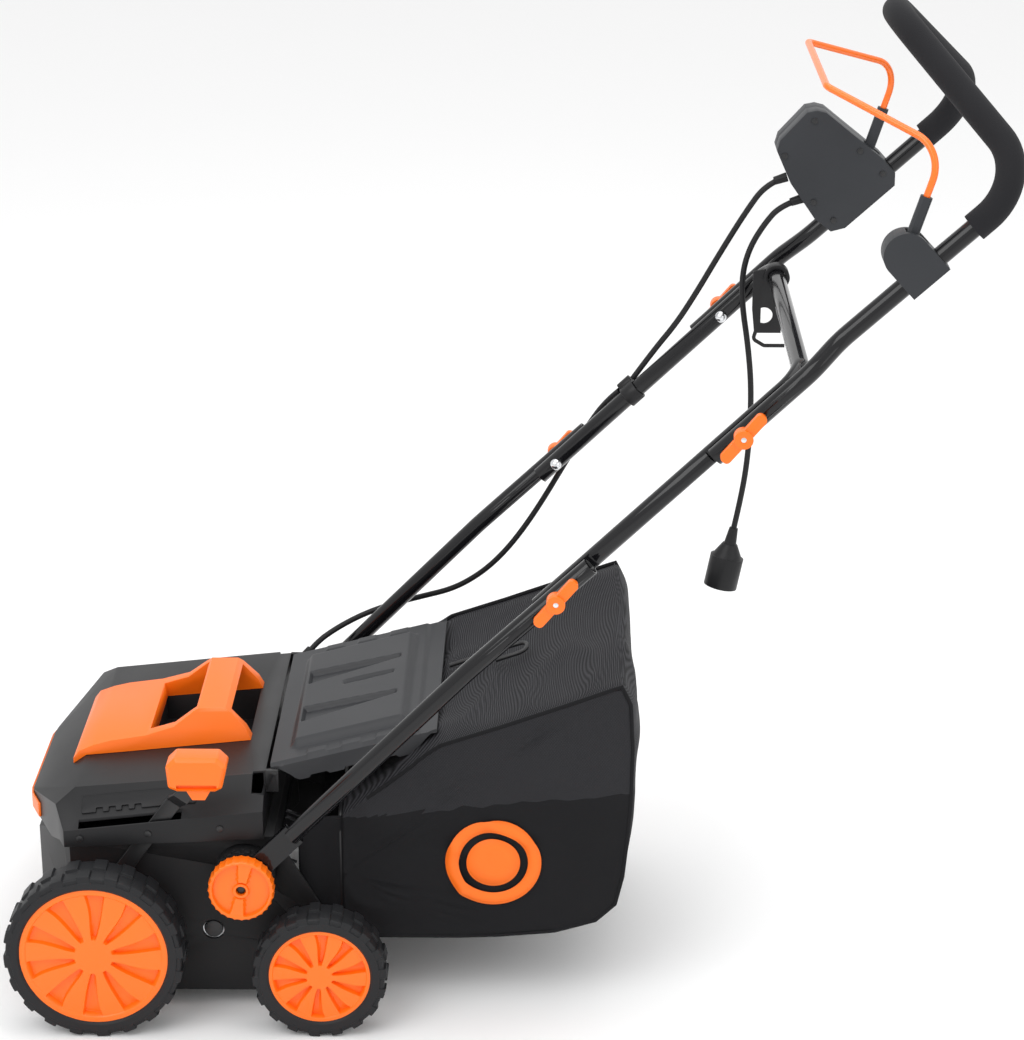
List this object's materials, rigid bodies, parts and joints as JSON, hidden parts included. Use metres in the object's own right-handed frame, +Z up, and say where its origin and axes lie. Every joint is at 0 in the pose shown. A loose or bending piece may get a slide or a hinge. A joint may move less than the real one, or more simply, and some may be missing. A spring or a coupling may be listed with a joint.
{
  "type": "lawn dethatcher",
  "caption": "Electric walk-behind lawn dethatcher with a folding handle, depth lever, spring-tine reel, rear flap and cloth collection bag.",
  "frame": {"origin": "on the ground, midway between the front of the front tyres and the rear of the grip, on the middle plane", "axes": "+X from the front wheels to the handle, +Y across the machine to the side with the switch box, +Z up"},
  "size_m": [1.0838, 0.546, 1.1116],
  "materials": {
    "black_housing": "moulded black plastic, fine grain",
    "black_cover": "moulded black plastic, satin",
    "box_plastic": "dark grey plastic, satin",
    "orange_plastic": "moulded orange plastic",
    "orange_paint": "orange coated rod",
    "dark_metal": "steel laminations and can",
    "aluminium_cast": "turned",
    "zinc_steel": "zinc plated",
    "spring_steel": "spring wire",
    "black_steel": "black",
    "black_tube": "gloss black powder coat",
    "bright_bolt": "polished",
    "belt_rubber": "ribbed belt",
    "black_rubber": "smooth cable jacket",
    "foam": "closed-cell foam",
    "tyre_black": "ribbed tread",
    "bag_cloth": "woven cloth and mesh"
  },
  "bodies": {
    "chassis": {"deck_housing": "black_housing", "upper_cover": "black_cover", "carry_handle": "orange_plastic", "front_trim": "orange_plastic", "depth_scale": "black_cover", "motor_housing": "dark_metal", "belt_guard": "black_housing", "drive_belt": "belt_rubber", "rear_axle": "zinc_steel", "shaft_bearings": "zinc_steel", "housing_screws": "black_steel", "flap_hinge_rod": "zinc_steel", "ratchet_rings": "black_housing", "cable_gland": "black_rubber", "pivot_studs": "zinc_steel", "motor_cable_lower": "black_rubber"},
    "depth_crank": {"front_crank_axle": "zinc_steel", "depth_lever_arm": "zinc_steel", "depth_lever_grip": "orange_plastic"},
    "reel": {"reel_shaft": "zinc_steel", "spring_tines": "spring_steel", "reel_pulley": "aluminium_cast"},
    "rotor": {"motor_rotor": "dark_metal", "motor_pulley": "aluminium_cast"},
    "flap": {"rear_flap": "black_cover"},
    "bag": {"grass_bag": "bag_cloth", "bag_frame": "black_steel"},
    "lower_handle": {"lower_tubes": "black_tube"},
    "middle_handle": {"middle_tube": "black_tube", "joint_bolts": "bright_bolt", "cable_clip": "black_cover", "cord_plug": "black_rubber"},
    "upper_handle": {"upper_tube": "black_tube", "foam_grip": "foam", "switch_box_front": "box_plastic", "switch_box_back": "box_plastic", "box_screws": "black_steel", "box_strain_reliefs": "black_rubber", "mains_switch": "black_cover", "bail_bracket": "box_plastic", "motor_cable_upper": "black_rubber", "power_cord": "black_rubber"},
    "bail": {"bail_rod": "orange_paint", "bail_sockets": "box_plastic"},
    "button": {"safety_button": "orange_plastic"},
    "hook": {"cord_hook": "black_cover"},
    "front_wheel_near": {"front_tyre_near": "tyre_black", "front_hub_near": "orange_plastic"},
    "rear_wheel_near": {"rear_tyre_near": "tyre_black", "rear_hub_near": "orange_plastic"},
    "front_wheel_far": {"front_tyre_far": "tyre_black", "front_hub_far": "orange_plastic"},
    "rear_wheel_far": {"rear_tyre_far": "tyre_black", "rear_hub_far": "orange_plastic"},
    "pivot_knob_near": {"pivot_knob_near": "orange_plastic"},
    "pivot_knob_far": {"pivot_knob_far": "orange_plastic"},
    "lower_wing_knob_near": {"lower_wing_knob_near": "orange_plastic"},
    "lower_wing_knob_far": {"lower_wing_knob_far": "orange_plastic"},
    "upper_wing_knob_near": {"upper_wing_knob_near": "orange_plastic"},
    "upper_wing_knob_far": {"upper_wing_knob_far": "orange_plastic"}
  },
  "joints": [
    {"name": "depth_lever", "type": "hinge", "parent": "chassis", "child": "depth_crank", "pos_m": [-0.46993, 0, 0.1], "axis": [0, -1, 0], "range_deg": [0, 25]},
    {"name": "front_wheel_near_spin", "type": "hinge", "parent": "depth_crank", "child": "front_wheel_near", "pos_m": [-0.44193, -0.25, 0.1], "axis": [0, 1, 0], "continuous": true},
    {"name": "rear_wheel_near_spin", "type": "hinge", "parent": "chassis", "child": "rear_wheel_near", "pos_m": [-0.19293, -0.25, 0.075], "axis": [0, 1, 0], "continuous": true},
    {"name": "front_wheel_far_spin", "type": "hinge", "parent": "depth_crank", "child": "front_wheel_far", "pos_m": [-0.44193, 0.25, 0.1], "axis": [0, 1, 0], "continuous": true},
    {"name": "rear_wheel_far_spin", "type": "hinge", "parent": "chassis", "child": "rear_wheel_far", "pos_m": [-0.19293, 0.25, 0.075], "axis": [0, 1, 0], "continuous": true},
    {"name": "reel_spin", "type": "hinge", "parent": "chassis", "child": "reel", "pos_m": [-0.31693, 0, 0.097], "axis": [0, 1, 0], "continuous": true},
    {"name": "rotor_spin", "type": "hinge", "parent": "chassis", "child": "rotor", "pos_m": [-0.44993, 0, 0.16], "axis": [0, 1, 0], "continuous": true},
    {"name": "flap_lift", "type": "hinge", "parent": "chassis", "child": "flap", "pos_m": [-0.24605, 0, 0.27526], "axis": [0, -1, 0], "range_deg": [0, 70]},
    {"name": "bag_unhook", "type": "slide", "parent": "chassis", "child": "bag", "axis": [0.9701, 0, -0.2425], "range_m": [0, 0.3]},
    {"name": "lower_fold", "type": "hinge", "parent": "chassis", "child": "lower_handle", "pos_m": [-0.27893, 0, 0.171], "axis": [0, -1, 0], "range_deg": [-10, 35], "deforming": ["motor_cable_lower"]},
    {"name": "middle_fold", "type": "hinge", "parent": "lower_handle", "child": "middle_handle", "pos_m": [0.06607, 0, 0.5135], "axis": [0, -1, 0], "range_deg": [0, 95], "deforming": ["motor_cable_lower"]},
    {"name": "upper_fold", "type": "hinge", "parent": "middle_handle", "child": "upper_handle", "pos_m": [0.2595, 0, 0.69899], "axis": [0, -1, 0], "range_deg": [-135, 0], "deforming": ["motor_cable_upper", "power_cord"]},
    {"name": "pivot_knob_near_turn", "type": "hinge", "parent": "chassis", "child": "pivot_knob_near", "pos_m": [-0.27893, -0.24, 0.171], "axis": [0, 1, 0], "continuous": true},
    {"name": "pivot_knob_far_turn", "type": "hinge", "parent": "chassis", "child": "pivot_knob_far", "pos_m": [-0.27893, 0.24, 0.171], "axis": [0, 1, 0], "continuous": true},
    {"name": "lower_wing_knob_near_turn", "type": "hinge", "parent": "middle_handle", "child": "lower_wing_knob_near", "pos_m": [0.06607, -0.243, 0.5135], "axis": [0, 1, 0], "continuous": true},
    {"name": "lower_wing_knob_far_turn", "type": "hinge", "parent": "middle_handle", "child": "lower_wing_knob_far", "pos_m": [0.06607, 0.243, 0.5135], "axis": [0, 1, 0], "continuous": true},
    {"name": "upper_wing_knob_near_turn", "type": "hinge", "parent": "middle_handle", "child": "upper_wing_knob_near", "pos_m": [0.2595, -0.243, 0.69899], "axis": [0, 1, 0], "continuous": true},
    {"name": "upper_wing_knob_far_turn", "type": "hinge", "parent": "middle_handle", "child": "upper_wing_knob_far", "pos_m": [0.2595, 0.243, 0.69899], "axis": [0, 1, 0], "continuous": true},
    {"name": "bail_squeeze", "type": "hinge", "parent": "upper_handle", "child": "bail", "pos_m": [0.42207, 0, 0.888], "axis": [0, 1, 0], "range_deg": [0, 30], "stiffness_Nm_per_rad": 0.8, "springref_deg": -20.05},
    {"name": "safety_button_press", "type": "slide", "parent": "upper_handle", "child": "button", "axis": [0, -1, 0], "range_m": [0, 0.004], "stiffness_N_per_m": 300, "springref_m": -0.002},
    {"name": "cord_hook_swing", "type": "hinge", "parent": "middle_handle", "child": "hook", "pos_m": [0.32085, 0.165, 0.75783], "axis": [0, 1, 0], "range_deg": [-25, 25]}
  ],
  "couplings": [
    {"joint": "rotor_spin", "follows": "reel_spin", "ratio": 2}
  ]
}
